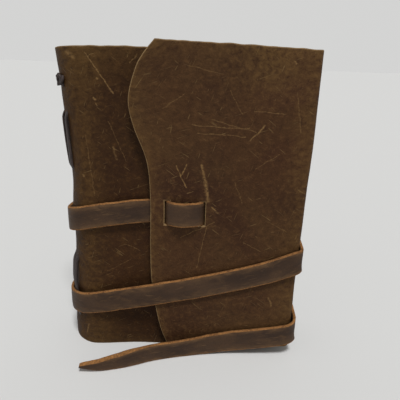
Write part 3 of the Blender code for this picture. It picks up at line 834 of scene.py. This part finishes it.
def on_spine(row, z, lift, sideways=0.0):
    """A place over the spine's leather, level with a signature's row of stitches."""
    angle = row_angle(row) + sideways / SPINE_RADIUS
    reach = SPINE_RADIUS + lift
    x = SPINE_X - reach * math.cos(angle)
    forward = float(forward_at(x, 0.5 + angle / math.pi))
    swell = float(swell_at(z)) * math.cos(angle) ** 0.8
    return Vector((x - swell, SPINE_Y + reach * math.sin(angle) - forward, z))


def lace_piece(name, centre, half_width, half_thickness, row, materials, twist=0.0):
    """A flat lace along points, its flat side to the spine."""
    rings, places = [], []
    count = 10
    travelled = 0.0
    angle = row_angle(row)
    outward = Vector((-math.cos(angle), math.sin(angle), 0))
    for i, point in enumerate(centre):
        before, after = centre[max(i - 1, 0)], centre[min(i + 1, len(centre) - 1)]
        along = (after - before).normalized()
        travelled += (point - before).length
        flat = along.cross(outward)
        if flat.length < 0.2:
            flat = Vector((0, 0, 1)).cross(outward)
        flat.normalize()
        thick = flat.cross(along).normalized()
        turn = twist * i / len(centre)
        ring = []
        for k in range(count):
            a = 2 * math.pi * k / count
            u, v = (math.copysign(abs(c) ** 0.7, c) for c in (math.cos(a), math.sin(a)))
            side = flat * math.cos(turn) + thick * math.sin(turn)
            over = thick * math.cos(turn) - flat * math.sin(turn)
            ring.append(point + side * u * half_width + over * v * half_thickness)
            places.append((u * half_width + row * 0.02, v * half_thickness, travelled))
        rings.append(ring)
    piece = swept(name, rings, materials, [0] * count)
    put_attribute(piece.data, "lace_place", "FLOAT_VECTOR", places)
    piece.data.shade_smooth()
    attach(piece, "book")
    return piece


def make_lacing():
    """Five laces, each showing as two long stitches and ending in an overhand knot."""
    lace = lace_material()
    random.seed(14)
    for row in range(SIGNATURES):
        for place in ("upper", "lower"):
            node = f"stitch_lace_{row + 1}_{place}"
            low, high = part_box(node)
            slack = random.uniform(0.2, 0.9) * MM
            sway = random.uniform(-0.7, 0.7) * MM
            centre = []
            for i in range(STITCH_STEPS + 1):
                t = i / STITCH_STEPS
                z = low.z + STITCH_INSET + t * (high.z - low.z - 2 * STITCH_INSET)
                rise = min(1.0, 6.0 * min(t, 1 - t))
                lift = -STITCH_DEPTH + STITCH_RISE * math.sin(rise * math.pi / 2)
                lift += slack * math.sin(t * math.pi)
                centre.append(on_spine(row, z, lift, sway * math.sin(t * math.pi * 1.5)))
            piece = lace_piece(node + "_lace", centre, *STITCH_LACE, row, [lace],
                               random.uniform(-0.35, 0.35))
            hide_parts(node)
        node = f"lace_knot_{row + 1}"
        low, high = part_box(node)
        middle_z = (low.z + high.z) / 2
        turn = random.uniform(-0.4, 0.4)
        centre = []
        for i in range(KNOT_STEPS + 1):
            a = -KNOT_REACH + i / KNOT_STEPS * (2 * KNOT_REACH)
            across = math.sin(a) + 1.55 * math.sin(2 * a)
            up = math.cos(a) - 1.55 * math.cos(2 * a)
            over = -math.sin(3 * a)
            c, n = math.cos(turn), math.sin(turn)
            side, rise = (across * c - up * n) * 0.66 * MM, (across * n + up * c) * 1.50 * MM
            centre.append(on_spine(row, middle_z + rise, 0.0007 + over * 0.00050, side))
        piece = lace_piece(f"lace_knot_{row + 1}_tied", centre, *KNOT_LACE, row, [lace])
        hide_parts(node)


# ---------------------------------------------------------------- pages

LEAF_STEPS = 22
FOLD_STEPS = 8
LEVELS = 15
SHEETS = 6
FOLD_ROOM = 0.0030
UNEVEN = 0.0016                  # how unevenly the sheets end
CREEP = 0.00008                  # how much shorter each sheet is than the one inside it


def sheet_line(start_x, far, middle_y, radius):
    """A folded sheet in plan, from one free edge round the fold to the other: x, y and the
    direction of its outer side."""
    line = [(far + (start_x - far) * i / LEAF_STEPS, middle_y - radius, 0, -1)
            for i in range(LEAF_STEPS + 1)]
    for i in range(1, FOLD_STEPS):
        a = math.radians(270 - 180 * i / FOLD_STEPS)
        line.append((start_x + radius * math.cos(a), middle_y + radius * math.sin(a),
                     math.cos(a), math.sin(a)))
    return line + [(start_x + (far - start_x) * i / LEAF_STEPS, middle_y + radius, 0, 1)
                   for i in range(LEAF_STEPS + 1)]


def sheet_faces(base, columns, rows):
    """The faces of one sheet: both sides, the upper and lower ends and the two free edges."""
    size = columns * rows
    faces = []
    for side, start in ((1, base), (-1, base + size)):
        for i in range(columns - 1):
            for j in range(rows - 1):
                a = start + i * rows + j
                quad = (a, a + 1, a + rows + 1, a + rows)
                faces.append(quad if side == 1 else quad[::-1])
    for i in range(columns - 1):
        a, b = base + i * rows, base + size + i * rows
        faces.append((a, a + rows, b + rows, b))
        a, b = a + rows - 1, b + rows - 1
        faces.append((a, b, b + rows, a + rows))
    for j in range(rows - 1):
        a, b = base + j, base + size + j
        faces.append((a, b, b + 1, a + 1))
        a, b = a + (columns - 1) * rows, b + (columns - 1) * rows
        faces.append((a, a + 1, b + 1, b))
    return faces


def make_signature(row, paper):
    """One sewn signature: folded sheets of thick paper with deckled edges, nested in each other."""
    nodes = [f"signature_{row + 1}"]
    if row < 2:
        nodes = [f"signature_{row + 1}_gutter", f"signature_{row + 1}_leaves"]
    boxes = [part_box(node) for node in nodes]
    low = Vector((min(b[0].x for b in boxes), min(b[0].y for b in boxes), boxes[0][0].z))
    high = Vector((max(b[1].x for b in boxes), max(b[1].y for b in boxes), boxes[0][1].z))
    middle_y = (low.y + high.y) / 2
    half = (high.y - low.y) / 2
    pitch = half / (SHEETS + 0.2)
    paper_half = pitch * 0.36
    random.seed(40 + row)
    vertices, faces, places, shade = [], [], [], []
    for sheet in range(SHEETS):
        radius = half - pitch * (sheet + 0.5)
        start_x = low.x + FOLD_ROOM + half
        far = high.x - random.uniform(0.0, UNEVEN) - (SHEETS - sheet) * CREEP
        line = sheet_line(start_x, far, middle_y, radius)
        base = len(vertices)
        tone = random.random()
        for side in (1, -1):
            for i, (x, y, nx, ny) in enumerate(line):
                for j in range(LEVELS + 1):
                    t = j / LEVELS
                    z = low.z + t * (high.z - low.z)
                    ends = abs(2 * t - 1) ** 8
                    leaf = 0 if i <= LEAF_STEPS else 1
                    deckle = 0.00035 * noise.noise(Vector((x * 260, sheet + leaf * 9.0, row * 7.0)))
                    z += ends * (deckle - 0.0004) * (1 if t > 0.5 else -1)
                    free = max(0.0, (x - start_x) / (far - start_x)) ** 10
                    torn = 0.0007 * noise.noise(Vector((z * 240, sheet * 3.3 + leaf, row * 5.0)))
                    wavy = pitch * 0.10 * noise.noise(Vector((x * 40, z * 40, sheet * 2.0 + leaf)))
                    vertices.append((x + free * (torn - 0.0006) + nx * side * paper_half,
                                     y + ny * (side * paper_half) + wavy, z))
                    places.append((x, y * 8 + sheet, z))
                    shade.append(tone * (0.3 + 0.7 * abs(ends)))
        faces += sheet_faces(base, len(line), LEVELS + 1)
    piece = new_object(f"signature_{row + 1}_sheets", vertices, faces, [paper])
    put_attribute(piece.data, "paper_place", "FLOAT_VECTOR", places)
    put_attribute(piece.data, "paper_shade", "FLOAT", shade)
    piece.data.shade_smooth()
    piece.data.set_sharp_from_angle(angle=math.radians(50))
    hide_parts(*nodes)
    if row < 2:
        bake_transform(piece)
    else:
        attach(piece, "book")


# ---------------------------------------------------------------- stage, light and camera

FLOOR_COLOUR = (0.665, 0.665, 0.656, 1.0)
SKY_LIMITS = (0.18, 0.50)        # upward part of the direction, where the sky starts and stops dimming
SKY_STRENGTHS = (0.655, 0.28)
SUN_DIRECTION = Vector((-0.10, 0.42, -0.88))
CAMERA_PLACE = (0.01055, -0.228, 0.172)
CAMERA_DOWN = 18.7               # degrees below level
CAMERA_ROLL = 2.04               # degrees


def make_stage():
    """A plain pale floor that runs to a horizon of its own brightness, a high sun, dim sky above."""
    nodes = MaterialNodes("pale_floor", 0.9, 0.0)
    nodes.shader.inputs["Base Color"].default_value = FLOOR_COLOUR
    bpy.ops.mesh.primitive_plane_add(size=80.0, location=(0, 0, 0))
    floor = bpy.context.object
    floor.name = "floor"
    floor.data.materials.append(nodes.material)

    world = bpy.data.worlds.new("pale_surround")
    bpy.context.scene.world = world
    world.use_nodes = True
    sky = Nodes(world.node_tree)
    direction = sky.node("ShaderNodeTexCoord").outputs["Generated"]
    upward = sky.node("ShaderNodeSeparateXYZ", {0: direction}).outputs["Z"]
    background = sky.tree.nodes["Background"]
    background.inputs["Color"].default_value = (1.0, 1.0, 0.99, 1.0)
    sky.tree.links.new(sky.between(upward, *SKY_LIMITS, *SKY_STRENGTHS), background.inputs["Strength"])

    light = bpy.data.lights.new("sun", "SUN")
    light.energy = 2.45
    light.angle = math.radians(13)
    add_object("sun", light).rotation_euler = SUN_DIRECTION.to_track_quat("-Z", "Y").to_euler()


def make_camera():
    """The photograph's viewpoint: close, from the front, looking down, turned slightly."""
    data = bpy.data.cameras.new("camera")
    data.lens = 36.0
    data.sensor_width = 36.0
    camera = add_object("camera", data)
    pitch = Matrix.Rotation(math.radians(90.0 - CAMERA_DOWN), 4, "X")
    roll = Matrix.Rotation(math.radians(CAMERA_ROLL), 4, "Z")
    camera.matrix_world = Matrix.Translation(CAMERA_PLACE) @ pitch @ roll
    bpy.context.scene.camera = camera
    bpy.context.scene.view_settings.view_transform = "Standard"


make_camera()
make_stage()
make_strap()
make_hide()
make_lacing()
handmade_paper = paper_material()
for signature in range(SIGNATURES):
    make_signature(signature, handmade_paper)
